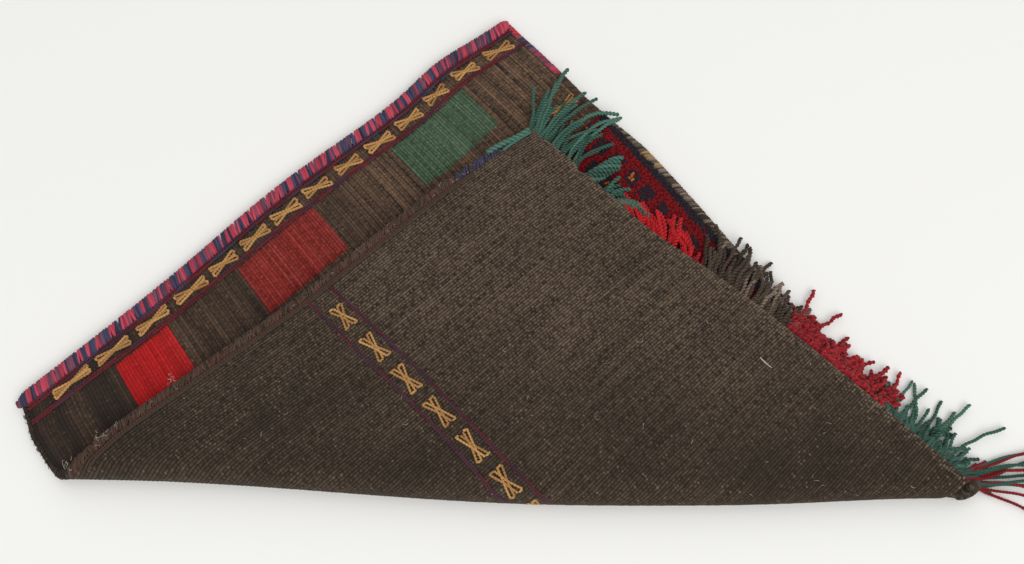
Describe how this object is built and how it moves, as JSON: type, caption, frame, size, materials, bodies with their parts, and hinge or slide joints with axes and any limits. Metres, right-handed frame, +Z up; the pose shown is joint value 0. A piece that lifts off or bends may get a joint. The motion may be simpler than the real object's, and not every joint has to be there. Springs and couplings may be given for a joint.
{
  "type": "hand-knotted bag",
  "caption": "Flat wool bag with a knotted face and a ribbed plain-woven back, laid down with its lower half folded over the face; bound mouth, overcast sides and a fringed foot.",
  "frame": {"origin": "point of the underside near the middle of the bag, on the surface that it lies on", "axes": "+X along the diagonal fold towards the tasselled corner, +Y from the fold towards the mouth's far corner, +Z up out of the underside"},
  "size_m": [0.6062, 0.3511, 0.0218],
  "materials": {
    "brown_wool": "dark brown weft-faced wool, matt",
    "green_wool": "dark green dyed wool, matt",
    "crimson_wool": "dark red dyed wool, matt",
    "scarlet_wool": "bright red dyed wool, matt",
    "pile_wool": "short knotted pile in dark red and navy, matt",
    "gold_wool": "gold dyed wool brocade, matt",
    "rose_wool": "red, rose and navy overcast wool, matt",
    "russet_wool": "brown and dark red overcast wool, matt",
    "grey_brown_wool": "undyed grey-brown wool, matt"
  },
  "bodies": {
    "root": {"woven_body": "brown_wool", "green_block": "green_wool", "crimson_block": "crimson_wool", "scarlet_block": "scarlet_wool", "knotted_pile": "pile_wool", "mouth_brocade": "gold_wool", "pile_brocade": "gold_wool", "back_brocade": "gold_wool", "mouth_binding": "rose_wool", "left_binding": "russet_wool", "right_binding": "grey_brown_wool", "green_fringe": "green_wool", "red_fringe": "scarlet_wool", "brown_fringe": "grey_brown_wool", "crimson_fringe": "crimson_wool", "corner_fringe": "green_wool", "corner_tassel": "crimson_wool"}
  },
  "joints": []
}
